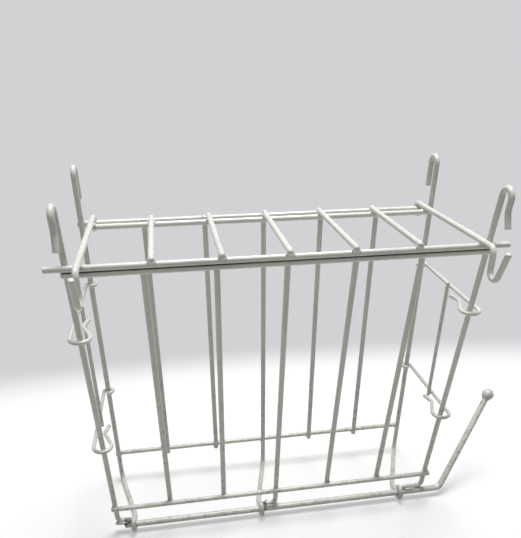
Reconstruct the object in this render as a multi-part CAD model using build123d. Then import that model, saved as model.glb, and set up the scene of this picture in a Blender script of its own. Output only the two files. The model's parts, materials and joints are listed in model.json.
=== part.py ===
from build123d import *
import os
from math import acos, asin, atan2, cos, degrees, hypot, radians, sin, sqrt, tan

# Hay rack for small pets, bent and spot-welded from coated steel wire.
# Two flat panels of upright bars make its back and its leaning front. The back hangs by two hooks.
# Three floor wires of the back wind round a skewer rod under the front, so the front can fold.
# A lid turns on the back panel's top rail. A gate at each side turns on a back bar and snaps
# its sprung hooks round a front bar.
#
# Millimetres. +X is the right, +Y the wall that the rack hangs on, +Z up. The origin is half-way
# between the two hooks of the back, on the line that both hooks are bent round.

# ---------------------------------------------------------------------------- wire
PANEL_WIRE = 3.0        # diameter of every bar and rail of the panels and the lid
GATE_WIRE = 2.2         # diameter of the springy gate wires
SKEWER_WIRE = 4.0       # diameter of the skewer rod
WELD_SINK = 0.2         # how deep two crossing wires melt into each other
LAP_SINK = 0.1          # how deep a wire melts into the rod that it lies along
EYE_PLAY = 0.1          # radial play of an eye on the wire that it turns on
REST_GAP = 0.3          # gap under a piece that only rests on another
CUT_ROUND = 0.45        # rounded edge of a cut wire end
SMOOTH_ROUND = 1.0      # the same where a paw or muzzle can reach the end

# ---------------------------------------------------------------------------- panels
RACK_WIDTH = 200.0      # between the centres of the outermost bars, front and back
BAR_COUNT = 7           # bars in each panel and in the lid
PANEL_HEIGHT = 161.0    # each panel, between the centres of its two rails
FRONT_LEAN = 6.8        # degrees that the front panel leans out from upright
HOOK_RISE = 25.6        # from the centre of the back top rail up to the hooks' bend centre
HOOK_BEND = 3.85        # bend radius of the back hooks
HOOK_LEG = 13.5         # straight leg of a back hook
FRONT_HOOK_RISE = 27.5  # from the front top rail up to the front hooks' bend centre
FRONT_HOOK_BEND = 4.0   # bend radius of the front hooks
FRONT_HOOK_LEG = 3.5    # straight leg of a front hook, as far as its kink
FRONT_HOOK_KINK = 30.0  # degrees that the leg then kinks out
KINK_BEND = 6.0         # bend radius of that kink
FRONT_HOOK_TIP = 6.5    # straight tip after the kink

# ---------------------------------------------------------------------------- floor and skewer
FLOOR_REACH = 50.2      # from the back bars forward to the skewer rod
FLOOR_DROP = 15.5       # from the back bottom rail down to the skewer rod
FLOOR_BEND = 6.0        # bend radius at the back of the floor wires
FLOOR_LEAD = 12.0       # straight lead of a floor wire into its eye
FLOOR_EYE_TURN = 245.0  # degrees that an open floor eye winds round the rod
ROD_DROP = 17.7         # from the front bottom rail down to the skewer rod, along the panel
ROD_SETBACK = 1.3       # skewer rod behind the plane of the front rails
LEG_BEND = 3.4          # bend radius where a front leg turns to lie on the rod
LEG_LAPS = (6.5, -6.3, -12.3)   # where the left, middle and right legs end on the rod, from their bars
LAP_PLAY = 1.5          # side play between a leg's end and the floor eye beside it
ROD_INSET = 4.0         # left end of the rod, inside the left outer bar
ROD_OVERHANG = 13.3     # where the rod turns up into its handle, past the right outer bar
ROD_BEND = 5.0          # bend radius there
HANDLE_LENGTH = 72.0    # from that corner to the centre of the ball
HANDLE_RISE = 46.6      # degrees that the handle climbs
HANDLE_TURN = 36.5      # degrees that the handle is turned back from the rod's line
BALL_SIZE = 8.0         # ball on the skewer's tip
BALL_BORE = 5.0         # how deep the rod sits in the ball

# ---------------------------------------------------------------------------- lid
LID_SIDE_GAP = 3.3      # between a lid side bar and the front riser beside it
LID_AHEAD = 1.0         # the lid's front rail stands this far ahead of the front panel's top rail
LID_REAR = 9.5          # from the hinge line to the lid's rear rail
LID_BAR_TAIL = 3.0      # lid bars end this far behind the rear rail
LID_RAIL_PAST = 9.0     # front rail past the centre of the riser that its end stands in front of
REAR_RAIL_END = 1.0     # rear rail past the side bars
CATCH_AHEAD = 12.8      # from the lid's front rail forward to the legs of its catches
CATCH_BEND = 3.5        # bend radius where a side bar turns down into its catch
CATCH_LEG = 6.6         # straight leg of the catch
CATCH_LOOP = 3.8        # bend radius of the catch's open loop
CATCH_LEAN = 22.0       # degrees that the catch's tip leans forward
CATCH_TIP = 14.0        # straight tip of the catch

# ---------------------------------------------------------------------------- gates
GATE_DROP = 34.5        # upper gate wire under the back top rail
GATE_SPACING = 73.4     # lower gate wire under the upper one
SNAP_BEND = 4.8         # bend radius of a snap hook round a front bar
SNAP_LEG = 12.5         # from a front bar's centre back to the pinch of its hook
SNAP_BITE = 0.5         # how much narrower the pinch is than the bar
SNAP_ROOT = 1.5         # from a front bar's centre back to the root of the sprung leg
SNAP_CURVE = 4.5        # bend radius at the root and the pinch of the sprung leg
SNAP_TIP = 7.5          # flared tip behind the pinch
SNAP_FLARE = 2.4        # how far the tip flares in
CROSS_REACH = 34.0      # from the back bar forward to the gate's cross wire
CROSS_END = 1.4         # cross wire past the gate wires

# ---------------------------------------------------------------------------- places that follow
bar_step = RACK_WIDTH / (BAR_COUNT - 1)
lid_width = RACK_WIDTH - 2 * (PANEL_WIRE + LID_SIDE_GAP)    # centres of the lid's side bars
lid_step = lid_width / (BAR_COUNT - 1)
crossing = PANEL_WIRE - WELD_SINK                       # centres of two welded wires that cross
outer_bar = RACK_WIDTH / 2
middle = BAR_COUNT // 2
rod_corner_x = outer_bar + ROD_OVERHANG

back_bar_y = -HOOK_BEND
back_rail_y = back_bar_y + crossing
back_top_z = -HOOK_RISE
back_bottom_z = back_top_z - PANEL_HEIGHT
rod_y = back_bar_y - FLOOR_REACH
rod_z = back_bottom_z - FLOOR_DROP
rod_eye = (SKEWER_WIRE + PANEL_WIRE) / 2 + EYE_PLAY     # bend radius of the floor eyes

# The front panel's own upright frame: its origin is the rod, its Y the hay side, its Z the bars.
front_rail_y = -ROD_SETBACK
front_bar_y = front_rail_y + crossing
front_bottom_z = ROD_DROP
front_top_z = front_bottom_z + PANEL_HEIGHT
lap_centre = (SKEWER_WIRE + PANEL_WIRE) / 2 - LAP_SINK
lap_z = sqrt(lap_centre ** 2 - front_bar_y ** 2)        # a leg's end lies on top of the rod
front_panel = Location((0, rod_y, rod_z), (FRONT_LEAN, 0, 0))

# The lid's own level frame: its origin is the hinge line on the back top rail.
lid_eye = PANEL_WIRE + EYE_PLAY                         # bend radius of the hinge eyes
lid_rail_z = lid_eye - crossing

gate_eye = (PANEL_WIRE + GATE_WIRE) / 2 + EYE_PLAY      # bend radius of the gates' closed eyes
SAME_PLACE = 0.01                                       # two points nearer than this are one


def eye_turn(radius, wire, play):
    """Degrees that an eye can wind before its tip meets the wire that it left."""
    return 360 - degrees(acos(1 - (wire + play) / radius))


def in_front_panel(y, z):
    """Row Y and Z of a point of the front panel's own frame."""
    lean = radians(FRONT_LEAN)
    return rod_y + y * cos(lean) - z * sin(lean), rod_z + y * sin(lean) + z * cos(lean)


def front_bar_at(z):
    """Row Y of the centre line of the front bars at a height."""
    lean = radians(FRONT_LEAN)
    return rod_y + front_bar_y / cos(lean) - (z - rod_z) * tan(lean)


def lid_tilt():
    """Degrees that the lid's front stands up, to rest its front rail on the front panel's top rail."""
    down, away = back_top_z - top_rail_z, back_rail_y - top_rail_y
    near = hypot(down, away)
    far = hypot(lid_reach, lid_rail_z)
    rest = PANEL_WIRE + REST_GAP
    between = acos((near ** 2 + far ** 2 - rest ** 2) / (2 * near * far))
    return degrees(between - atan2(down, away) - atan2(lid_rail_z, lid_reach))


top_rail_y, top_rail_z = in_front_panel(front_rail_y, front_top_z)
lid_reach = back_rail_y - top_rail_y + LID_AHEAD        # hinge line to the lid's front rail
lid = Location((0, back_rail_y, back_top_z), (-lid_tilt(), 0, 0))


class BentWire:
    """A wire that is fed straight and bent step by step, as on a bending machine."""

    def __init__(self, wire, start, heading):
        self.wire = wire
        self.end = Vector(*start)
        self.heading = Vector(*heading).normalized()
        self.pieces = []
        self.cut_ends = [self.end]

    @classmethod
    def from_eye(cls, wire, leaves_at, heading, axis, turn, radius):
        """Start with an eye, which winds by turn degrees and is left at a point with a heading."""
        spin = Axis((0, 0, 0), axis)
        arm = Vector(*heading).normalized().cross(Vector(*axis)) * radius
        start = Vector(*leaves_at) - arm + arm.rotate(spin, -turn)
        return cls(wire, start, Vector(*heading).rotate(spin, -turn)).bend(axis, turn, radius)

    def section(self):
        return Plane(origin=self.end, z_dir=self.heading) * Circle(self.wire / 2)

    def straight(self, length):
        """Feed a straight length."""
        self.pieces.append(extrude(self.section(), amount=length, dir=self.heading))
        self.end = self.end + self.heading * length
        return self

    def bend(self, axis, turn, radius):
        """Bend by turn degrees about an axis direction, at a centre-line radius."""
        arm = self.heading.cross(Vector(*axis)) * radius
        hub = self.end - arm
        self.pieces.append(revolve(self.section(), axis=Axis(hub, axis), revolution_arc=turn))
        spin = Axis((0, 0, 0), axis)
        self.end = hub + arm.rotate(spin, turn)
        self.heading = self.heading.rotate(spin, turn)
        return self

    def up_to(self, point):
        """Feed straight as far as a point."""
        return self.straight((Vector(*point) - self.end).length)

    def corner(self, point, beyond, radius):
        """Feed towards a corner point and round it, to head for the point beyond."""
        out = (Vector(*beyond) - Vector(*point)).normalized()
        turn = self.heading.get_angle(out)
        before = (Vector(*point) - self.end).length - radius * tan(radians(turn) / 2)
        self.straight(before)
        return self.bend(tuple(self.heading.cross(out).normalized()), turn, radius)

    def solid(self, start_cut=True, end_cut=True, rounding=CUT_ROUND):
        """The wire as one solid, with the edges of its cut ends rounded."""
        body = self.pieces[0]
        for piece in self.pieces[1:]:
            body = body + piece
        ends = []
        if start_cut:
            ends.append(self.cut_ends[0])
        if end_cut:
            ends.append(self.end)
        rims = [e for e in body.edges() if any((e.arc_center - p).length < SAME_PLACE for p in ends
                                              if e.geom_type == GeomType.CIRCLE)]
        return fillet(rims, rounding) if rims else body


def straight_wire(wire, start, end, start_cut=True, end_cut=True):
    """A straight wire between the centres of its two ends."""
    heading = Vector(*end) - Vector(*start)
    return BentWire(wire, start, tuple(heading)).up_to(end).solid(start_cut, end_cut)


def rail(half_length, y, z):
    """A straight rail along X, centred on the middle."""
    return straight_wire(PANEL_WIRE, (-half_length, y, z), (half_length, y, z))


# ---------------------------------------------------------------------------- back panel
def eye_beside(bar, lap):
    """Where along X a floor eye sits: just past the end of the front leg that lies on the rod."""
    side = 1 if lap > 0 else -1
    return bar + lap + side * (LAP_PLAY + PANEL_WIRE / 2)


def floor_and_eye(bar, x, eye_x):
    """Run a back bar on under the rack and up round the skewer rod in an open eye."""
    floor_z = rod_z - rod_eye
    lead_in = (eye_x, rod_y + FLOOR_LEAD, floor_z)
    under_rod = (eye_x, rod_y, floor_z)
    bar.corner((x, back_bar_y, floor_z), lead_in, FLOOR_BEND)
    bar.corner(lead_in, under_rod, FLOOR_BEND)
    bar.up_to(under_rod)
    return bar.bend((-1, 0, 0), FLOOR_EYE_TURN, rod_eye)


def back_hook_bar(x, eye_x):
    """An outer back bar: hook over the wall's wire, upright, floor wire and eye in one piece."""
    bar = BentWire(PANEL_WIRE, (x, HOOK_BEND, -HOOK_LEG), (0, 0, 1))
    bar.straight(HOOK_LEG)
    bar.bend((1, 0, 0), 180, HOOK_BEND)
    return floor_and_eye(bar, x, eye_x).solid()


def back_centre_bar(x, eye_x):
    """The middle back bar, which also runs on as a floor wire."""
    bar = BentWire(PANEL_WIRE, (x, back_bar_y, back_top_z + PANEL_WIRE / 2), (0, 0, -1))
    return floor_and_eye(bar, x, eye_x).solid()


def back_panel():
    """Nodes of the back panel."""
    nodes = {}
    half_rail = outer_bar + PANEL_WIRE / 2
    nodes["back_top_rail"] = rail(half_rail, back_rail_y, back_top_z)
    nodes["back_bottom_rail"] = rail(half_rail, back_rail_y, back_bottom_z)
    left_lap, middle_lap, right_lap = LEG_LAPS
    nodes["back_hook_bar_left"] = back_hook_bar(-outer_bar, eye_beside(-outer_bar, left_lap))
    nodes["back_hook_bar_right"] = back_hook_bar(outer_bar, eye_beside(outer_bar, right_lap))
    nodes["back_centre_bar"] = back_centre_bar(0, eye_beside(0, middle_lap))
    top, bottom = back_top_z + PANEL_WIRE / 2, back_bottom_z - PANEL_WIRE / 2
    for number, x in enumerate(inner_bars(bar_step), 1):
        nodes[f"back_bar_{number}"] = straight_wire(PANEL_WIRE, (x, back_bar_y, bottom), (x, back_bar_y, top))
    return nodes


def inner_bars(step):
    """X of the bars between the outermost two, leaving out the middle one."""
    return [(i - middle) * step for i in range(1, BAR_COUNT - 1) if i != middle]


# ---------------------------------------------------------------------------- front panel and skewer
def front_leg(x, lap):
    """Start a front bar at its welded end on the rod, and turn it up at the bar's place."""
    side = 1 if lap > 0 else -1
    bar = BentWire(PANEL_WIRE, (x + lap, front_bar_y, lap_z), (-side, 0, 0))
    bar.straight(abs(lap) - LEG_BEND)
    return bar.bend((0, side, 0), 90, LEG_BEND)


def front_hook_bar(x, lap):
    """An outer front bar: leg, upright, riser beside the lid, and a hook whose tip kinks out."""
    bar = front_leg(x, lap)
    bar.up_to((x, front_bar_y, front_top_z + FRONT_HOOK_RISE))
    bar.bend((1, 0, 0), 180, FRONT_HOOK_BEND)
    bar.straight(FRONT_HOOK_LEG)
    bar.bend((-1, 0, 0), FRONT_HOOK_KINK, KINK_BEND)
    return bar.straight(FRONT_HOOK_TIP).solid()


def front_centre_bar(lap):
    """The middle front bar, with a leg on the rod."""
    return front_leg(0, lap).up_to((0, front_bar_y, front_top_z + PANEL_WIRE / 2)).solid()


def skewer_handle():
    """Direction in which the handle leaves the rod."""
    rise, turn = radians(HANDLE_RISE), radians(HANDLE_TURN)
    return Vector(cos(rise) * cos(turn), cos(rise) * sin(turn), sin(rise))


def skewer_rod():
    """The rod that the floor eyes turn on, bent up into the handle that fruit is pushed on."""
    corner = (rod_corner_x, rod_y, rod_z)
    tip = Vector(*corner) + skewer_handle() * (HANDLE_LENGTH - BALL_SIZE / 2 + BALL_BORE)
    rod = BentWire(SKEWER_WIRE, (ROD_INSET - outer_bar, rod_y, rod_z), (1, 0, 0))
    rod.corner(corner, tuple(tip), ROD_BEND)
    return rod.up_to(tuple(tip)).solid(end_cut=False)


def skewer_ball():
    """The round tip, bored to take the end of the rod."""
    centre = Vector(rod_corner_x, rod_y, rod_z) + skewer_handle() * HANDLE_LENGTH
    mouth = Plane(origin=centre - skewer_handle() * BALL_SIZE, z_dir=skewer_handle())
    bore = extrude(mouth * Circle(SKEWER_WIRE / 2), amount=BALL_SIZE / 2 + BALL_BORE)
    return Pos(*centre) * Sphere(BALL_SIZE / 2) - bore


def front_panel_nodes():
    """Nodes of the front panel, leaned into place, with the skewer that it is welded to."""
    half_rail = outer_bar + PANEL_WIRE / 2
    left_lap, middle_lap, right_lap = LEG_LAPS
    upright = {
        "front_top_rail": rail(half_rail, front_rail_y, front_top_z),
        "front_bottom_rail": rail(half_rail, front_rail_y, front_bottom_z),
        "front_hook_bar_left": front_hook_bar(-outer_bar, left_lap),
        "front_hook_bar_right": front_hook_bar(outer_bar, right_lap),
        "front_centre_bar": front_centre_bar(middle_lap),
    }
    top, bottom = front_top_z + PANEL_WIRE / 2, front_bottom_z - PANEL_WIRE / 2
    for number, x in enumerate(inner_bars(bar_step), 1):
        upright[f"front_bar_{number}"] = straight_wire(
            PANEL_WIRE, (x, front_bar_y, bottom), (x, front_bar_y, top))
    nodes = {name: front_panel * shape for name, shape in upright.items()}
    nodes["skewer_rod"] = skewer_rod()
    nodes["skewer_ball"] = skewer_ball()
    return nodes


# ---------------------------------------------------------------------------- lid
def lid_side_bar(x):
    """A side bar of the lid: hinge eye at the back, catch with an open loop at the front."""
    turn = eye_turn(lid_eye, PANEL_WIRE, EYE_PLAY)
    bar = BentWire.from_eye(PANEL_WIRE, (x, 0, lid_eye), (0, -1, 0), (1, 0, 0), turn, lid_eye)
    bar.straight(lid_reach + CATCH_AHEAD - CATCH_BEND)
    bar.bend((1, 0, 0), 90, CATCH_BEND)
    bar.straight(CATCH_LEG)
    bar.bend((-1, 0, 0), 180 - CATCH_LEAN, CATCH_LOOP)
    return bar.straight(CATCH_TIP).solid(rounding=SMOOTH_ROUND)


def lid_nodes():
    """Nodes of the lid, tilted on its hinge line until it rests on the front panel."""
    side_bar = lid_width / 2
    split = side_bar + PANEL_WIRE / 2
    level = {
        "lid_front_rail": straight_wire(PANEL_WIRE, (-split, -lid_reach, lid_rail_z),
                                        (split, -lid_reach, lid_rail_z), False, False),
        "lid_rear_rail": rail(split + REAR_RAIL_END, -LID_REAR, lid_rail_z),
    }
    for side, word in ((-1, "left"), (1, "right")):
        level[f"lid_rail_end_{word}"] = straight_wire(
            PANEL_WIRE, (side * split, -lid_reach, lid_rail_z),
            (side * (outer_bar + LID_RAIL_PAST), -lid_reach, lid_rail_z), start_cut=False)
        level[f"lid_side_bar_{word}"] = lid_side_bar(side * side_bar)
    tail, nose = -LID_REAR + LID_BAR_TAIL, -lid_reach - PANEL_WIRE / 2
    for number in range(1, BAR_COUNT - 1):
        x = (number - middle) * lid_step
        level[f"lid_bar_{number}"] = straight_wire(PANEL_WIRE, (x, tail, lid_eye), (x, nose, lid_eye))
    return {name: lid * shape for name, shape in level.items()}


# ---------------------------------------------------------------------------- gates
def gate_line(z):
    """The straight run of a right-hand gate wire: its two tangent points, heading and slant.

    It touches the back eye and the snap hook from outside, so it slants out by their difference.
    """
    slant = asin((SNAP_BEND - gate_eye) / (back_bar_y - front_bar_at(z)))
    outward = Vector(cos(slant), sin(slant), 0)
    start = Vector(outer_bar, back_bar_y, z) + outward * gate_eye
    end = Vector(outer_bar, front_bar_at(z), z) + outward * SNAP_BEND
    return start, end, Vector(sin(slant), -cos(slant), 0), slant


def gate_wire(z):
    """A right-hand gate wire: closed eye on the back bar, straight run, and half a snap hook."""
    start, end, heading, slant = gate_line(z)
    turn = eye_turn(gate_eye, GATE_WIRE, EYE_PLAY)
    wire = BentWire.from_eye(GATE_WIRE, tuple(start), tuple(heading), (0, 0, -1), turn, gate_eye)
    wire.up_to(tuple(end))
    return wire.bend((0, 0, -1), 90 + degrees(slant), SNAP_BEND).solid(end_cut=False)


def gate_snap(z):
    """The sprung leg of a snap hook: round the front bar, in to the pinch and out at the tip."""
    hook_y = front_bar_at(z)
    start, _, heading, _ = gate_line(z)
    along = (hook_y + SNAP_LEG - start.Y) / heading.Y
    outer_leg_x = start.X + heading.X * along
    pinch_x = outer_leg_x - GATE_WIRE - (PANEL_WIRE - SNAP_BITE)
    root = (outer_bar - SNAP_BEND, hook_y + SNAP_ROOT, z)
    pinch = (pinch_x, hook_y + SNAP_LEG, z)
    tip = (pinch_x - SNAP_FLARE, hook_y + SNAP_LEG + SNAP_TIP, z)
    leg = BentWire(GATE_WIRE, (outer_bar, hook_y - SNAP_BEND, z), (-1, 0, 0))
    leg.bend((0, 0, -1), 90, SNAP_BEND)
    leg.corner(root, pinch, SNAP_CURVE)
    leg.corner(pinch, tip, SNAP_CURVE)
    return leg.up_to(tip).solid(start_cut=False, rounding=SMOOTH_ROUND)


def gate_cross_wire(upper_z, lower_z):
    """The upright wire that joins a gate's two wires on their inner side."""
    ends = []
    for z in (lower_z, upper_z):
        start, _, heading, slant = gate_line(z)
        on_wire = start + heading * CROSS_REACH
        inward = Vector(-cos(slant), -sin(slant), 0)
        ends.append(on_wire + inward * (GATE_WIRE - WELD_SINK))
    past = (ends[1] - ends[0]).normalized() * (GATE_WIRE / 2 + CROSS_END)
    return straight_wire(GATE_WIRE, tuple(ends[0] - past), tuple(ends[1] + past))


def gate_nodes():
    """Nodes of both gates. The left one is the right one mirrored."""
    upper_z = back_top_z - GATE_DROP
    lower_z = upper_z - GATE_SPACING
    right = {
        "upper_wire": gate_wire(upper_z),
        "upper_snap": gate_snap(upper_z),
        "lower_wire": gate_wire(lower_z),
        "lower_snap": gate_snap(lower_z),
        "cross_wire": gate_cross_wire(upper_z, lower_z),
    }
    nodes = {f"right_gate_{name}": shape for name, shape in right.items()}
    nodes.update({f"left_gate_{name}": mirror(shape, about=Plane.YZ) for name, shape in right.items()})
    return nodes


# ---------------------------------------------------------------------------- export
os.makedirs("parts", exist_ok=True)
for build_nodes in (back_panel, front_panel_nodes, lid_nodes, gate_nodes):
    for node, shape in build_nodes().items():
        export_step(shape, f"parts/{node}.step")
print(f"lid tilt {lid_tilt():.3f} degrees, rod at Y {rod_y:.3f} Z {rod_z:.3f}")
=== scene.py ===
# %% [markdown]
# # A hay rack bent from coated wire
#
# The rack is forty-odd straight and bent wires, spot-welded into five pieces: a back panel, a
# leaning front panel with a skewer, a lid and two side gates. The wires come from the CAD model
# and keep their shape here. This lesson gives them their finish, adds the small things that a
# factory leaves on such a rack, and lights it.

# %% Load the CAD wires
import json
import random
import re
from math import cos, pi, radians, sin

import bmesh
import bpy
from mathutils import Matrix, Vector, geometry, noise


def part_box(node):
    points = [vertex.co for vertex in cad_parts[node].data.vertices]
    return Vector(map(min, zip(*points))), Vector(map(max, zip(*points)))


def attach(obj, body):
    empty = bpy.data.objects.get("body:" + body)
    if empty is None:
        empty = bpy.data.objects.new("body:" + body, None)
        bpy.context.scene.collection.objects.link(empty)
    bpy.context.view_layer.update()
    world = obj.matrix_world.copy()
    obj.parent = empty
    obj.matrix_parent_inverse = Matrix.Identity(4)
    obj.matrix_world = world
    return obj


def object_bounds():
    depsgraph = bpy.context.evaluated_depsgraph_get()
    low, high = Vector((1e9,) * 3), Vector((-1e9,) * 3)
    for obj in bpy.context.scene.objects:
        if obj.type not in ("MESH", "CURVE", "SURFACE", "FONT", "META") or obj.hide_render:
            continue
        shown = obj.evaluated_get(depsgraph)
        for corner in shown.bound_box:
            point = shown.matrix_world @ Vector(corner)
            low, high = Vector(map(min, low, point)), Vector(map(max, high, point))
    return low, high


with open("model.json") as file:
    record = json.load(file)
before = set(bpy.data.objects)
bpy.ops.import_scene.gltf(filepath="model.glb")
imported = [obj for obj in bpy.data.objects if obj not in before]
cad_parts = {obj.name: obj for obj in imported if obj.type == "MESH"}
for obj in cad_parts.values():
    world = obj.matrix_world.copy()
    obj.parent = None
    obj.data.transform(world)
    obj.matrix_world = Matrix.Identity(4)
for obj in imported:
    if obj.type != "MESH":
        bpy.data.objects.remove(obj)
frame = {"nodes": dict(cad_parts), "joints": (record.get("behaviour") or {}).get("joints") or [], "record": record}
cad_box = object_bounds()
nodes = frame["nodes"]
bodies = frame["record"]["behaviour"]["bodies"]
print("wires:", len(nodes), "in bodies:", {name: len(members) for name, members in bodies.items()})

# %% [markdown]
# ## Smooth round wires
#
# A wire's mesh is many narrow flat strips. The CAD wires bring their own normals, which already
# make them round, so they are left alone. A new piece could be cut into more faces, but smooth
# shading hides the strips and adds no face. Only its sharp rims have to stay sharp, and Blender
# keeps an edge sharp when its two faces meet at more than a set angle.

# %% Shade a new piece smooth
RIM_ANGLE = radians(35)


def shade_round(mesh):
    """Smooth a mesh, but keep edges sharp where its faces meet steeply."""
    mesh.shade_smooth()
    mesh.set_sharp_from_angle(angle=RIM_ANGLE)


print("new pieces keep edges sharp over", round(RIM_ANGLE, 2), "radians")

# %% [markdown]
# ## Arithmetic on sockets
#
# A material that changes over a surface is a small sum: noise times a strength, plus a base. In
# the node editor each step of it is a Math node with two wires. Here one small class wraps an
# output socket, so that `mottle * 0.1 + 0.3` adds those nodes by itself.


# %% A socket that can be added and multiplied
class Amount:
    """A number that changes over the surface: one output socket with arithmetic."""

    def __init__(self, finish, socket):
        self.finish = finish
        self.socket = socket

    def _math(self, operation, first, second):
        inputs = {0: first, 1: second}
        return self.finish.node("ShaderNodeMath", {"operation": operation}, inputs)

    def __add__(self, other):
        return self._math("ADD", self, other)

    def __mul__(self, other):
        return self._math("MULTIPLY", self, other)


print("+ and * on an amount make Math nodes")

# %% [markdown]
# A second class holds the node tree of one material, and makes the few kinds of node that this
# rack needs: noise, soft steps, mixed colours and relief. A painted image could carry a pattern
# too, but a thin bent wire is hard to unwrap, and noise is sharp at any distance. Every noise reads
# the wire's own coordinates, so the pattern rides along when a joint moves.


# %% A material that is written as a list of nodes
class Finish:
    """A material that is written as a list of nodes."""

    def __init__(self, name):
        self.material = bpy.data.materials.new(name)
        self.material.use_nodes = True
        self.tree = self.material.node_tree
        self.shader = self.tree.nodes["Principled BSDF"]
        self.place = self.node("ShaderNodeTexCoord", output="Object")

    def node(self, kind, settings=None, inputs=None, output=0):
        """Add one node: settings first, then the values or links of its sockets."""
        added = self.tree.nodes.new(kind)
        for name, value in (settings or {}).items():
            setattr(added, name, value)
        self.feed(added, inputs or {})
        return Amount(self, added.outputs[output])

    def feed(self, node, inputs):
        """Link or set a node's input sockets."""
        for key, value in inputs.items():
            if isinstance(value, Amount):
                self.tree.links.new(value.socket, node.inputs[key])
            else:
                node.inputs[key].default_value = value

    def grain(self, scale, detail=2.0, roughness=0.5):
        """Soft noise of a size: scale is how many lumps fit in a metre."""
        inputs = {"Vector": self.place, "Scale": scale, "Detail": detail, "Roughness": roughness}
        return self.node("ShaderNodeTexNoise", None, inputs)

    def between(self, amount, low, high):
        """0 below low and 1 above high, with a soft step between."""
        inputs = {"Value": amount, "From Min": low, "From Max": high}
        return self.node("ShaderNodeMapRange", {"interpolation_type": "SMOOTHSTEP"}, inputs)

    def patches(self, scale, low, high, detail=2.0, roughness=0.5):
        """Patches with soft edges: 0 where the noise is under low, 1 where it is over high."""
        return self.between(self.grain(scale, detail, roughness), low, high)

    def blend(self, share, first, second):
        """A colour between two colours."""
        mix = self.tree.nodes.new("ShaderNodeMix")
        mix.data_type = "RGBA"
        # One Mix node serves numbers and colours. Its colours go in at 6 and 7 and come out at 2.
        self.feed(mix, {0: share, 6: first, 7: second})
        return Amount(self, mix.outputs[2])

    def bump(self, height, distance, over=None):
        """A normal from a height. distance is its relief in metres, over is a normal to add to."""
        inputs = {"Height": height, "Distance": distance}
        if over is not None:
            inputs["Normal"] = over
        return self.node("ShaderNodeBump", None, inputs)

    def paint(self, **inputs):
        """Set the shader's sockets, with words joined as they are in Blender."""
        self.feed(self.shader, {name.replace("_", " "): value for name, value in inputs.items()})
        return self.material


print("a finish can make:", [name for name in vars(Finish) if not name.startswith("_")])

# %% [markdown]
# ## The coating
#
# The rack is dipped in a thick ivory paint. It is glossy and lies in slow waves that break up its
# highlights. It is a little greyer where dust has settled on it. The rack drains and dries
# standing up, so the coating is roughest and most mottled on the rails and wires near the floor.
# Noises of different size give the colour, the gloss and the relief, and the height above the
# floor says how strong the rough ones are.

# %% Colours and grains of the coating
IVORY = (0.76, 0.76, 0.695, 1)
COOL_IVORY = (0.68, 0.685, 0.635, 1)
DUST = (0.36, 0.355, 0.305, 1)
# Painted shade: a near-black colour for the crevice where the lid's rail sits on the front top rail.
PAINTED_CREVICE_SHADE = (0.05, 0.048, 0.032, 1)
ROUGH_BELOW = -0.175
SMOOTH_ABOVE = -0.06
# Patches: lumps in a metre, the two noise values of the soft step, detail, roughness.
COOL_PATCHES = (28, 0.35, 0.68, 3)
SPECKS = (900, 0.655, 0.72, 2, 0.6)
DUSTY_PATCHES = (70, 0.48, 0.66)
MOTTLING = (330, 0.5, 0.66, 3, 0.6)
# How much of the dust colour each kind of patch brings, and how much darker it all gets near the floor.
SPECK_SHARE = 0.5
MOTTLE_SHARE = 0.08
MOTTLE_LOW_DOWN = 0.44
# The whole coating is made greyer towards the floor.
GREY_LOW_DOWN = 0.24
print("the coating is smooth above", SMOOTH_ABOVE, "m and roughest below", ROUGH_BELOW, "m")

# %% [markdown]
# The relief has three sizes, one over the other: the waves of the dip, the lumps where it ran down
# and dried, and fine pores. The waves go all over, and the lumps only near the floor. They are all
# much lower than the wire is thick, so they needn't change its shape: a Bump node only tilts the
# normals. Each one passes its normal on to the next, which is how Blender adds reliefs. The gloss
# is uneven in the same way.

# %% Relief and gloss of the coating
# Relief: lumps in a metre, detail, roughness.
WAVES = (140, 1)
LUMPS = (620, 3, 0.55)
PORES = (2600, 1)
WAVES_ALL_OVER = 0.55
WAVES_LOW_DOWN = 0.45
LUMP_DEPTH = 1.4
PORE_DEPTH = 0.08
SHEEN_PATCHES = (120, 2)
SHEEN_SWING = 0.14
SMOOTH_SHEEN = 0.2
DULL_LOW_DOWN = 0.1
TOP_SKIN = {"Coat_Weight": 0.4, "Coat_Roughness": 0.1, "IOR": 1.5}


def relief(finish, low, wave_depth):
    """Waves, lumps and pores. low is 1 near the floor, wave_depth is in metres."""
    waves = finish.grain(*WAVES) * (low * WAVES_LOW_DOWN + WAVES_ALL_OVER)
    waves = finish.bump(waves, wave_depth)
    lumps = finish.bump(finish.grain(*LUMPS) * low, wave_depth * LUMP_DEPTH, over=waves)
    return finish.bump(finish.grain(*PORES), wave_depth * PORE_DEPTH, over=lumps)


print("lumps are", LUMP_DEPTH, "and pores", PORE_DEPTH, "times as deep as the waves")

# %% [markdown]
# Colour, gloss and relief come together here. Thick wires carry a thicker coating than thin ones,
# so the depth of the waves is left open. So is a line of painted shade: the lid rests on the front
# top rail, and a broken dark line painted along the rail's top stands for the shade in the narrow
# crevice under the lid's rail. A strip laid on the rail would stand proud of it, so the line is only
# a colour, and the height in the rail's own coordinates says where it lies.

# %% The whole coating
# The painted crevice shade is broken up by noise: its patches, their swing and its least strength.
CREVICE_SHADE_PATCHES = (55, 2)
CREVICE_SHADE_SWING = 0.4
CREVICE_SHADE_SHARE = 0.65


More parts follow.
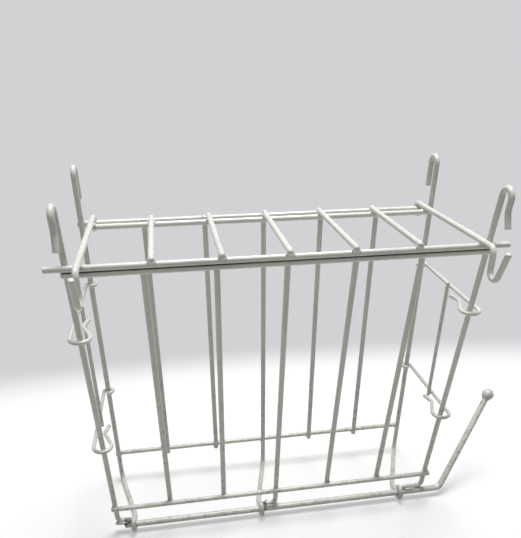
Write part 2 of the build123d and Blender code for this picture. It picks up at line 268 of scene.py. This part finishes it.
def coating(name, wave_depth, crevice_shade_from=None):
    """Glossy dipped coating: wave_depth is the depth of its slow waves in metres.

    The last argument is two heights: the painted crevice shade starts at the first and is full at the second.
    """
    finish = Finish(name)
    height = finish.node("ShaderNodeSeparateXYZ", None, {0: finish.place}, output=2)
    low = finish.between(height, SMOOTH_ABOVE, ROUGH_BELOW)
    dusty_specks = finish.patches(*SPECKS) * finish.patches(*DUSTY_PATCHES) * SPECK_SHARE
    mottling = finish.patches(*MOTTLING) * (low * MOTTLE_LOW_DOWN + MOTTLE_SHARE)
    grey = dusty_specks + mottling + low * GREY_LOW_DOWN
    colour = finish.blend(finish.patches(*COOL_PATCHES), IVORY, COOL_IVORY)
    colour = finish.blend(grey, colour, DUST)
    if crevice_shade_from:
        # Painted shade: a broken dark line along the top of the front top rail, under the lid's rail.
        broken = finish.grain(*CREVICE_SHADE_PATCHES) * CREVICE_SHADE_SWING + CREVICE_SHADE_SHARE
        colour = finish.blend(finish.between(height, *crevice_shade_from) * broken, colour, PAINTED_CREVICE_SHADE)
    sheen = finish.grain(*SHEEN_PATCHES) * SHEEN_SWING + low * DULL_LOW_DOWN + SMOOTH_SHEEN
    skin = relief(finish, low, wave_depth)
    return finish.paint(Base_Color=colour, Roughness=sheen, Normal=skin, **TOP_SKIN)


# This prints the least strength of the painted crevice shade.
print("painted crevice shade is at least", CREVICE_SHADE_SHARE, "strong where the lid rubs")

# %% [markdown]
# Three materials come from this one recipe: one for the panels, one with lower waves for the thin
# gates, and one for the rail under the lid, with painted crevice shade. A CAD wire's own material is taken away
# first.

# %% Coat every wire
PANEL_WAVES = 0.00022
GATE_WAVES = 0.00015
# Where the painted crevice shade lies: how far below the rail's top, and how soft its edges are.
CREVICE_SHADE_REACH = 0.00055
CREVICE_SHADE_EDGE = 0.0001
panel_coating = coating("ivory coating", PANEL_WAVES)
gate_coating = coating("ivory coating on thin wire", GATE_WAVES)
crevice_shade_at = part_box("front_top_rail")[1].z - CREVICE_SHADE_REACH
# This material carries the painted crevice shade under the lid's rail.
crevice_shaded_coating = coating("ivory coating with painted crevice shade", PANEL_WAVES,
                          (crevice_shade_at - CREVICE_SHADE_EDGE, crevice_shade_at + CREVICE_SHADE_EDGE))
for name, wire in nodes.items():
    wire.data.materials.clear()
    wire.data.materials.append(gate_coating if "gate" in name else panel_coating)
nodes["front_top_rail"].data.materials[0] = crevice_shaded_coating
print("coated:", len(nodes), "wires")

# %% [markdown]
# ## Where wires cross
#
# Two crossed wires are pressed together and welded by a current. The metal squeezes out a little,
# and the coating fills the corners between the wires. Beads could be put there by hand, but there
# are dozens, and measured lines place them all. The mesh of a straight wire is symmetric, so the
# middle of the points near each end lies on its centre line.


# %% Centre lines of the straight wires
END_SHARE = 0.002
END_MARGIN = 0.00001


def centre_line(name):
    """The two ends of a straight wire's centre line, in metres."""
    points = [v.co for v in nodes[name].data.vertices]
    low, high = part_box(name)
    span = high - low
    long_way = max(range(3), key=lambda i: span[i])
    points.sort(key=lambda p: p[long_way])
    edge = span[long_way] * END_SHARE + END_MARGIN
    first = [p for p in points if p[long_way] < low[long_way] + edge]
    last = [p for p in points if p[long_way] > high[long_way] - edge]
    return sum(first, Vector()) / len(first), sum(last, Vector()) / len(last)


def wire_direction(name):
    """Unit vector along a straight wire."""
    first, last = centre_line(name)
    return (last - first).normalized()


for name in ("back_top_rail", "front_bar_1", "lid_bar_1"):
    print(name, "runs along", [round(x, 3) for x in wire_direction(name)])

# %% [markdown]
# ## The web of coating in each crossing
#
# Seen close, the coating makes a small saddle in each of the four corners of a crossing. A ball
# that is flattened between the two wires shows as just such saddles, because the wires hide the
# rest of it. Each ball is pushed about a little, so that no two are the same. Chance says how, and
# it starts from a fixed seed, so that each run gives the same rack.

# %% An uneven lump
SEED = 7
NOISE_SPREAD = 40
LUMP_WAVES = 1.7
shaker = random.Random(SEED)


def add_lump(shape, centre, axes, radii, unevenness, fineness=3):
    """Add a ball, squashed along three axes and a little uneven, to a bmesh."""
    made = bmesh.ops.create_icosphere(shape, subdivisions=fineness, radius=1)["verts"]
    turn = Matrix(axes).transposed().to_4x4()
    where = Vector((shaker.random(), shaker.random(), shaker.random())) * NOISE_SPREAD
    for vert in made:
        vert.co *= 1 + unevenness * noise.noise(vert.co * LUMP_WAVES + where)
    bmesh.ops.scale(shape, vec=radii, verts=made)
    bmesh.ops.transform(shape, matrix=Matrix.Translation(centre) @ turn, verts=made)


print("chance starts from seed", SEED)

# %% [markdown]
# All the lumps of one kind on one panel are a single piece, which is simpler to keep than a piece
# for each lump. It is told which body it rides on, so that it moves with the joint, and which
# material slot it fills.


# %% A piece that rides on a body
def finish_piece(name, shape, body, material):
    """Turn a bmesh into an object that rides on a body."""
    bmesh.ops.recalc_face_normals(shape, faces=shape.faces)
    mesh = bpy.data.meshes.new(name)
    shape.to_mesh(mesh)
    shape.free()
    shade_round(mesh)
    mesh.materials.append(material)
    piece = bpy.data.objects.new(name, mesh)
    bpy.context.scene.collection.objects.link(piece)
    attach(piece, body)
    print(name, "has", len(mesh.polygons), "faces and rides on", body)


print("pieces ride on one of", list(bodies))

# %% [markdown]
# A web lies where the two wires touch, half-way between their centre lines. It reaches out along
# both of them, and it is thin between them, so that only its rim shows.

# %% One web of coating
PANEL_RADIUS = 0.0015
WELD_SINK = 0.0002
WEB_REACH = 0.0021
WEB_THICKNESS = 0.00085
WEB_SPREAD = (0.93, 1.1)
WEB_UNEVENNESS = 0.22


def web(shape, rail, bar, x, side, rise):
    """A web between a rail along X and a bar that crosses it at x.

    side points from the rail to the bar. rise is the web's reach along the bar, as a share of its
    reach along the rail.
    """
    first, last = centre_line(rail)
    along = (last - first).normalized()
    on_rail = first + along * ((x - first.x) / along.x)
    contact = on_rail + side * (PANEL_RADIUS - WELD_SINK / 2)
    size = WEB_REACH * shaker.uniform(*WEB_SPREAD)
    radii = (size, size * rise, WEB_THICKNESS)
    add_lump(shape, contact, (along, bar, side), radii, WEB_UNEVENNESS)


print("a web reaches about", round(WEB_REACH * 1000, 1), "mm along the rail")

# %% [markdown]
# The bars' places along the rails are read from the CAD wires, and not typed in, so that the webs
# follow if the wires change. In each panel all bars lie on one side of the rails, which the offset
# between a bar's line and a rail's line tells. The lid passes close over the front top rail when
# the front folds in, so the webs there reach less far up the bars.


# %% Webs of the two panels and the lid
TOP_STRETCH = 0.002
LOW_WEB = 0.68


def crossing_x(name):
    """X of a bar where it crosses the rails. A bent bar turns aside only low down, so look high."""
    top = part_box(name)[1].z
    high = [v.co.x for v in nodes[name].data.vertices if v.co.z > top - TOP_STRETCH]
    return (min(high) + max(high)) / 2


def webs_of(body, label, rails, straight_bar):
    """All the webs of one welded panel, as one piece."""
    bars = [n for n in bodies[body] if "bar" in n]
    along_bar = wire_direction(straight_bar)
    shape = bmesh.new()
    offset = centre_line(straight_bar)[0] - centre_line(rails[0])[0]
    side = Vector((1, 0, 0)).cross(along_bar).normalized()
    if offset.dot(side) < 0:
        side = -side
    for rail in rails:
        rise = LOW_WEB if rail == "front_top_rail" else 1
        for bar in bars:
            web(shape, rail, along_bar, crossing_x(bar), side, rise)
    finish_piece(label, shape, body, panel_coating)


webs_of("back_frame", "back_weld_webs", ("back_top_rail", "back_bottom_rail"), "back_bar_1")
webs_of("front_frame", "front_weld_webs", ("front_top_rail", "front_bottom_rail"), "front_bar_1")
webs_of("lid", "lid_weld_webs", ("lid_front_rail", "lid_rear_rail"), "lid_bar_1")

# %% [markdown]
# ## Crossings on the gates
#
# The gates' wires are thinner than the panels', and the cross wire leans a little, so its crossings
# are not square. The web needs only the two directions and the point where the wires touch: the
# point of the cross wire's line nearest to the gate wire's line, moved half-way towards it.


# %% Webs of the gates
RING_POINTS = 24
STRAIGHT_FROM = 0.35
STRAIGHT_TO = 0.75
GATE_WEB = (0.00155, 0.00155, 0.0006)
GATE_UNEVENNESS = 0.2


def straight_run(name):
    """Two points on the centre line of a gate wire's straight run: the middles of two rings."""
    run = [v.co.copy() for v in nodes[name].data.vertices]
    low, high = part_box(name)
    rings = []
    for share in (STRAIGHT_FROM, STRAIGHT_TO):
        y = low.y + (high.y - low.y) * share
        ring = sorted(run, key=lambda p: abs(p.y - y))[:RING_POINTS]
        middle = sum(ring, Vector()) / RING_POINTS
        middle.z = (low.z + high.z) / 2
        rings.append(middle)
    return rings


for side in ("left", "right"):
    shape = bmesh.new()
    cross = centre_line(f"{side}_gate_cross_wire")
    for level in ("upper", "lower"):
        gate_line = straight_run(f"{side}_gate_{level}_wire")
        on_gate, on_cross = geometry.intersect_line_line(*gate_line, *cross)
        out = (on_cross - on_gate).normalized()
        along = (gate_line[1] - gate_line[0]).normalized()
        axes = (along, out.cross(along).normalized(), out)
        add_lump(shape, (on_gate + on_cross) / 2, axes, GATE_WEB, GATE_UNEVENNESS)
    finish_piece(f"{side}_gate_weld_webs", shape, f"{side}_gate", gate_coating)

# %% [markdown]
# ## The rough welds on the skewer rod
#
# The three front legs turn aside and lie along the rod, and there they were welded hard. The metal
# ran, burnt brown, and the coating did not cover it well. Such a weld could be sculpted, but a few
# dark uneven lumps at each leg's end tell the same story at this size. Their metal is matt, and
# smoother where some coating has stuck to it.

# %% Burnt weld metal
BURNT = (0.125, 0.118, 0.088, 1)
THIN_COAT = (0.44, 0.43, 0.36, 1)
STUCK_COAT = (750, 0.41, 0.60, 3, 0.6)
SLAG = (1300, 3, 0.65)
SLAG_DEPTH = 0.0006
BARE_ROUGHNESS = 0.8
COATED_ROUGHNESS = 0.5


def burnt_weld():
    """Rough brown metal with thin patches of coating on it."""
    finish = Finish("burnt weld")
    covered = finish.patches(*STUCK_COAT)
    colour = finish.blend(covered, BURNT, THIN_COAT)
    rough = covered * (COATED_ROUGHNESS - BARE_ROUGHNESS) + BARE_ROUGHNESS
    slag = finish.bump(finish.grain(*SLAG), SLAG_DEPTH)
    return finish.paint(Base_Color=colour, Roughness=rough, Normal=slag)


weld_metal = burnt_weld()
print("made", weld_metal.name)

# %% [markdown]
# The fold joint turns on the rod, so the joint's place in the record is the rod's centre line. The
# end of each leg is found from the points of its mesh that lie furthest along the rod.

# %% Where the legs end on the rod
LEG_HEIGHT = 0.0032
RIM_DEPTH = 0.0001
fold = next(j for j in frame["joints"] if j["name"] == "front_fold")
rod_centre = Vector(fold["pos_m"])


def leg_end(name, inward):
    """Centre of the end of a leg that lies on the rod. inward is the way that the leg points."""
    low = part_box(name)[0].z
    foot = [v.co for v in nodes[name].data.vertices if v.co.z < low + LEG_HEIGHT]
    tip = max(p.x * inward for p in foot)
    ring = [p for p in foot if p.x * inward > tip - RIM_DEPTH]
    return sum(ring, Vector()) / len(ring)


# Each leg on the rod: the way that it points along X, and how many lumps lie round its end.
LEGS = (("front_hook_bar_left", 1, 14), ("front_centre_bar", -1, 11),
        ("front_hook_bar_right", -1, 3))
for name, inward, heap in LEGS:
    print(name, "ends at", [round(x, 4) for x in leg_end(name, inward)], "under", heap, "lumps")

# %% [markdown]
# The burnt lumps lie round the end of the leg, and each has a place and a size by chance. Behind
# them the coating fills the two corners between the leg and the rod with a long smooth ridge.

# %% One weld and its ridges
X_AXIS = Vector((1, 0, 0))
ROD_RADIUS = 0.002
SEAM_SETBACK = 0.0042
SEAM_ASIDE = 0.0013
SEAM_SIZE = (0.0040, 0.0008, 0.0010)
SEAM_UNEVENNESS = 0.3
SPREAD_ALONG = (-0.0019, 0.0011)
SPREAD_FORWARD = (-0.0009, 0.0017)
SPREAD_UP = (-0.0032, 0.0005)
SLAG_RADIUS = (0.0006, 0.00125)
SLAG_STRETCH = Vector((1.2, 1, 0.95))
SLAG_UNEVENNESS = 0.6


def rough_weld(metal, seams, name, inward, heap):
    """Uneven lumps round a leg's end, and long ones in the corners that it makes with the rod."""
    end = leg_end(name, inward)
    foot = Vector((end.x, rod_centre.y, rod_centre.z))
    up = (end - foot).normalized()
    front = up.cross(X_AXIS).normalized()
    if front.y > 0:
        front = -front
    axes = (X_AXIS, front, up)
    seam = foot + up * ROD_RADIUS - X_AXIS * (SEAM_SETBACK * inward)
    for side in (-1, 1):
        add_lump(seams, seam + front * SEAM_ASIDE * side, axes, SEAM_SIZE, SEAM_UNEVENNESS)
    for _ in range(heap):
        spot = end + X_AXIS * (inward * shaker.uniform(*SPREAD_ALONG))
        spot += front * shaker.uniform(*SPREAD_FORWARD)
        spot += up * shaker.uniform(*SPREAD_UP)
        radii = SLAG_STRETCH * shaker.uniform(*SLAG_RADIUS)
        add_lump(metal, spot, axes, radii, SLAG_UNEVENNESS)


print("a ridge is", round(SEAM_SIZE[0] * 2000, 1), "mm long")

# %% [markdown]
# The burnt metal and the ridges differ in material, so each makes a piece of its own. The ridges
# have the rack's coating.

# %% Welds and ridges of the three legs
metal = bmesh.new()
seams = bmesh.new()
for name, inward, heap in LEGS:
    rough_weld(metal, seams, name, inward, heap)
finish_piece("rod_welds", metal, "front_frame", weld_metal)
finish_piece("rod_seams", seams, "front_frame", panel_coating)

# %% [markdown]
# ## The ball's neck
#
# The coating rounds the corner where the rod enters the ball. A torus would do for an even bead,
# but this one has to run out flat on the ball, so a section is drawn and spun round the rod's line.
# The ring lies where the rod goes through the ball's surface, which the sides of a right-angled
# triangle give: the rod's radius, the ball's radius, and the way from the ball's centre.

# %% Neck of the ball
BALL_RADIUS = 0.004
# Radius and height of each corner of the ring's section, in metres.
NECK_PROFILE = ((0.0019, -0.0011), (0.00207, -0.0009), (0.00222, -0.00045), (0.0025, 0.0001),
                (0.0029, 0.00042), (0.0022, 0.0007))
NECK_STEPS = 40
ball_low, ball_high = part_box("skewer_ball")
skewer = next(m for m in frame["record"]["mounts"] if m["name"] == "skewer")
handle = Vector(skewer["axis"]).normalized()
neck_at = (ball_low + ball_high) / 2 - handle * (BALL_RADIUS ** 2 - ROD_RADIUS ** 2) ** 0.5
shape = bmesh.new()
aside = handle.orthogonal().normalized()
corners = [shape.verts.new(aside * radius + handle * height) for radius, height in NECK_PROFILE]
loop = [shape.edges.new(pair) for pair in zip(corners, corners[1:] + corners[:1])]
bmesh.ops.spin(shape, geom=corners + loop, cent=(0, 0, 0), axis=handle, angle=2 * pi,
               steps=NECK_STEPS, use_merge=True)
bmesh.ops.translate(shape, verts=shape.verts, vec=neck_at)
finish_piece("ball_neck", shape, "front_frame", panel_coating)

# %% [markdown]
# ## Coated wire ends
#
# A cut end isn't left bare: the dip leaves a thick rounded skin on it, which hides the flat cut.
# The CAD wires keep their shape, so the rim isn't bevelled, and a low dome over each end of each
# straight wire shows the skin. The thin wires of the gates get none.

# %% Domes on the straight wires
DOME_PROUD = 0.0009
DOME_SWELL = 1.03
DOME_UNEVENNESS = 0.06
DOME_FINENESS = 2
PLAIN_BAR = re.compile(r"_bar_\d$")
dome_size = (PANEL_RADIUS * DOME_SWELL, PANEL_RADIUS * DOME_SWELL, DOME_PROUD)
for body, members in bodies.items():
    straight = [n for n in members if n.endswith("rail") or PLAIN_BAR.search(n)]
    if not straight:
        continue
    shape = bmesh.new()
    for name in straight:
        ends = centre_line(name)
        for end, other in (ends, ends[::-1]):
            out = (end - other).normalized()
            across = out.orthogonal().normalized()
            axes = (across, out.cross(across), out)
            add_lump(shape, end, axes, dome_size, DOME_UNEVENNESS, DOME_FINENESS)
    finish_piece(f"{body}_coated_ends", shape, body, panel_coating)

# %% [markdown]
# The lid's bars end on top of the lid's front rail. There the coating runs down from the cut end
# over the rail, and it sets as a drop that is a little wider than the wire and slopes down to the
# front. A squashed ball with tilted axes makes the slope, and a second one rounds the bar's end.

# %% Drops at the ends of the lid bars
DROP_SETBACK = 0.0001
DROP_RISE = 0.0016
DROP_SIZE = Vector((0.0021, 0.0023, 0.0013))
DROP_SPREAD = (0.94, 1.05)
DROP_UNEVENNESS = 0.12
SLOPING_AXES = ((1, 0, 0), (0, -0.6, -0.8), (0, -0.8, 0.6))
END_ROUND = (0.00153, 0.0011, 0.00153)
END_UNEVENNESS = 0.05
UPRIGHT_AXES = ((1, 0, 0), (0, 1, 0), (0, 0, 1))
rail_z = centre_line("lid_front_rail")[0].z
shape = bmesh.new()
for name in (n for n in bodies["lid"] if PLAIN_BAR.search(n)):
    end = min(centre_line(name), key=lambda p: p.y)
    middle = Vector((end.x, end.y + DROP_SETBACK, rail_z + DROP_RISE))
    size = DROP_SIZE * shaker.uniform(*DROP_SPREAD)
    add_lump(shape, middle, SLOPING_AXES, size, DROP_UNEVENNESS)
    add_lump(shape, end, UPRIGHT_AXES, END_ROUND, END_UNEVENNESS)
finish_piece("lid_bar_drops", shape, "lid", panel_coating)

# %% [markdown]
# ## The backdrop
#
# The rack stands on a white table top that runs off into a pale grey wall. A bent sheet behind it
# would show that from one side only, so the wall is the world's colour. Only what looks at the
# backdrop sees it at full strength. The light that the world gives the rack is much dimmer, so that
# the undersides of the wires stay in shade.

# %% World
PALE_GREY = (0.645, 0.645, 0.662, 1)
SKY_LIGHT = 0.13
SKY_SEEN = 1.0
scene = bpy.context.scene
world = bpy.data.worlds.new("studio")
scene.world = world
world.use_nodes = True
sky = world.node_tree.nodes["Background"]
sky.inputs["Color"].default_value = PALE_GREY


def looked_at(tree):
    """1 for rays that show a backdrop to the camera, straight, mirrored or through glass."""
    ray = tree.nodes.new("ShaderNodeLightPath")
    total = ray.outputs["Is Camera Ray"]
    for kind in ("Is Glossy Ray", "Is Transmission Ray"):
        either = tree.nodes.new("ShaderNodeMath")
        either.operation = "MAXIMUM"
        tree.links.new(total, either.inputs[0])
        tree.links.new(ray.outputs[kind], either.inputs[1])
        total = either.outputs[0]
    return total


strength = world.node_tree.nodes.new("ShaderNodeMapRange")
strength.inputs["To Min"].default_value = SKY_LIGHT
strength.inputs["To Max"].default_value = SKY_SEEN
world.node_tree.links.new(looked_at(world.node_tree), strength.inputs["Value"])
world.node_tree.links.new(strength.outputs[0], sky.inputs["Strength"])
print("the world lights the rack at", SKY_LIGHT, "and is seen at", SKY_SEEN)

# %% [markdown]
# ## The table top
#
# One large plane is the table and the wall's foot at once: near the rack it is a matt white that
# takes light and shadow, and further out it fades to the flat grey of the world, so that no
# horizon shows from any side. A share of flat white in the near part makes the table bright and
# its shadows pale. The white is an oval, much wider than it is deep. To the rack, the table is a
# middle grey that throws less light back up.

# %% Distance from the middle of the table
POOL_SHAPE = (0.3, 1, 1)
FLOOR_DROP = 0.0003
RACK_MIDDLE_Y = -0.03
floor_z = cad_box[0][2] - FLOOR_DROP


def from_pool_centre(finish):
    """Distance from the middle of the rack's foot, shortened sideways to make an oval."""
    middle = (0, RACK_MIDDLE_Y, floor_z)
    kind = "ShaderNodeVectorMath"
    offset = finish.node(kind, {"operation": "SUBTRACT"}, {0: finish.place, 1: middle})
    oval = finish.node(kind, {"operation": "MULTIPLY"}, {0: offset, 1: POOL_SHAPE})
    return finish.node(kind, {"operation": "LENGTH"}, {0: oval}, output=1)


print("the table top lies at height", round(floor_z, 4), "m")

# %% [markdown]
# Three shades make the table: the matt white that takes the shadows, the flat white and grey that
# only glow, and the grey that the rack sees in its place. A Mix Shader node joins the matt and the
# flat part.

# %% Finish of the table top
TABLE_WHITE = (0.97, 0.97, 0.97, 1)
BOUNCE_GREY = (0.54, 0.54, 0.50, 1)
PAPER_WHITE = (1, 1, 1, 1)
TABLE_ROUGHNESS = 0.9
GLOW = 0.36
FADE_FROM = 0.125
FADE_TO = 0.20


def floor_finish():
    """Bright matt white near the rack, which fades to the world's flat grey further out."""
    finish = Finish("white table top")
    far = finish.between(from_pool_centre(finish), FADE_FROM, FADE_TO)
    seen = Amount(finish, looked_at(finish.tree))
    finish.paint(Base_Color=finish.blend(seen, BOUNCE_GREY, TABLE_WHITE),
                 Roughness=TABLE_ROUGHNESS)
    flat = finish.tree.nodes.new("ShaderNodeEmission")
    finish.feed(flat, {"Color": finish.blend(far, PAPER_WHITE, PALE_GREY)})
    mix = finish.tree.nodes.new("ShaderNodeMixShader")
    finish.feed(mix, {0: (far * (1 - GLOW) + GLOW) * seen})
    surface = finish.tree.nodes["Material Output"].inputs["Surface"]
    finish.tree.links.new(finish.shader.outputs[0], mix.inputs[1])
    finish.tree.links.new(flat.outputs[0], mix.inputs[2])
    finish.tree.links.new(mix.outputs[0], surface)
    return finish.material


table_finish = floor_finish()
print("made", table_finish.name, "with", len(table_finish.node_tree.nodes), "nodes")

# %% [markdown] The plane lies a hair below the rack's lowest point, so that the two don't share a
# surface.

# %% Table top
REACH = 6.0
shape = bmesh.new()
bmesh.ops.create_grid(shape, x_segments=1, y_segments=1, size=REACH,
                      matrix=Matrix.Translation((0, 0, floor_z)))
ground_mesh = bpy.data.meshes.new("floor")
shape.to_mesh(ground_mesh)
shape.free()
ground_mesh.materials.append(table_finish)
ground = bpy.data.objects.new("floor", ground_mesh)
scene.collection.objects.link(ground)
print("the table top reaches", REACH, "m each way")

# %% [markdown]
# ## The lamps
#
# The strongest light comes from above and a little behind, so the tops of the wires are nearly
# white, their fronts are a soft grey, and their shadows lie close in front of them. A weak lamp
# in front keeps the fronts from going dark. Both are square area lamps: a lamp without a size would
# draw hard shadows, and a larger square makes a softer one.


# %% Lamps
def softbox(name, place, target, size, power):
    """A square lamp at a place, which faces a target."""
    lamp = bpy.data.lights.new(name, "AREA")
    lamp.shape = "SQUARE"
    lamp.size = size
    lamp.energy = power
    holder = bpy.data.objects.new(name, lamp)
    holder.location = place
    holder.rotation_euler = (Vector(target) - Vector(place)).to_track_quat("-Z", "Y").to_euler()
    scene.collection.objects.link(holder)
    print(name, "gives", power, "W from", round((Vector(place) - Vector(target)).length, 2), "m")


RACK_MIDDLE = (0, RACK_MIDDLE_Y, -0.1)
ABOVE_AND_BEHIND = (0.10, 0.16, 0.95)
ABOVE_AND_IN_FRONT = (-0.45, -0.85, 0.95)
softbox("top light", ABOVE_AND_BEHIND, RACK_MIDDLE, size=0.5, power=14.5)
softbox("front fill", ABOVE_AND_IN_FRONT, RACK_MIDDLE, size=0.8, power=2.0)

# %% [markdown]
# ## The camera
#
# The camera stands close to the rack, a little above it and left of its middle, and looks down and
# to the right. This close, the upright wires run together towards the floor, which shows how deep
# the rack is. The camera's axis meets the frame below its middle, so the lens is shifted. A turn of
# the camera would move the view as far, but it would also change how the wires run together.

# %% Camera
CAMERA_PLACE = (-0.054277, -0.328726, 0.076081)
YAW, PITCH, ROLL = 0.17652, 0.55406, 0.00886
FOCAL_PX = 588.26
CENTRE_PX = (268.61, 370.09)
FRAME_PX = (521, 538)
SENSOR_MM = 36
CLIP_START = 0.01


def camera_axes(yaw, pitch, roll):
    """Right, up and back of a camera that is turned, tipped down and rolled."""
    ahead = Vector((sin(yaw) * cos(pitch), cos(yaw) * cos(pitch), -sin(pitch)))
    right = Vector((cos(yaw), -sin(yaw), 0))
    up = right.cross(ahead)
    return (right * cos(roll) + up * sin(roll), up * cos(roll) - right * sin(roll), -ahead)


eye = bpy.data.cameras.new("camera")
longer = max(FRAME_PX)
eye.sensor_width = SENSOR_MM
eye.lens = FOCAL_PX * SENSOR_MM / longer
eye.shift_x = (FRAME_PX[0] / 2 - CENTRE_PX[0]) / longer
eye.shift_y = (CENTRE_PX[1] - FRAME_PX[1] / 2) / longer
eye.clip_start = CLIP_START
viewer = bpy.data.objects.new("camera", eye)
turn = Matrix(camera_axes(YAW, PITCH, ROLL)).transposed().to_4x4()
viewer.matrix_world = Matrix.Translation(CAMERA_PLACE) @ turn
scene.collection.objects.link(viewer)
scene.camera = viewer
scene.view_settings.view_transform = "Standard"
print("lens:", round(eye.lens, 1), "mm, shift:", round(eye.shift_x, 3), round(eye.shift_y, 3))

# %% [markdown]
# ## Sizes
#
# The box of the bare CAD wires is measured when they are loaded. The coating and the welds add
# nothing to the outside, so the dressed rack's box would agree closely with it.
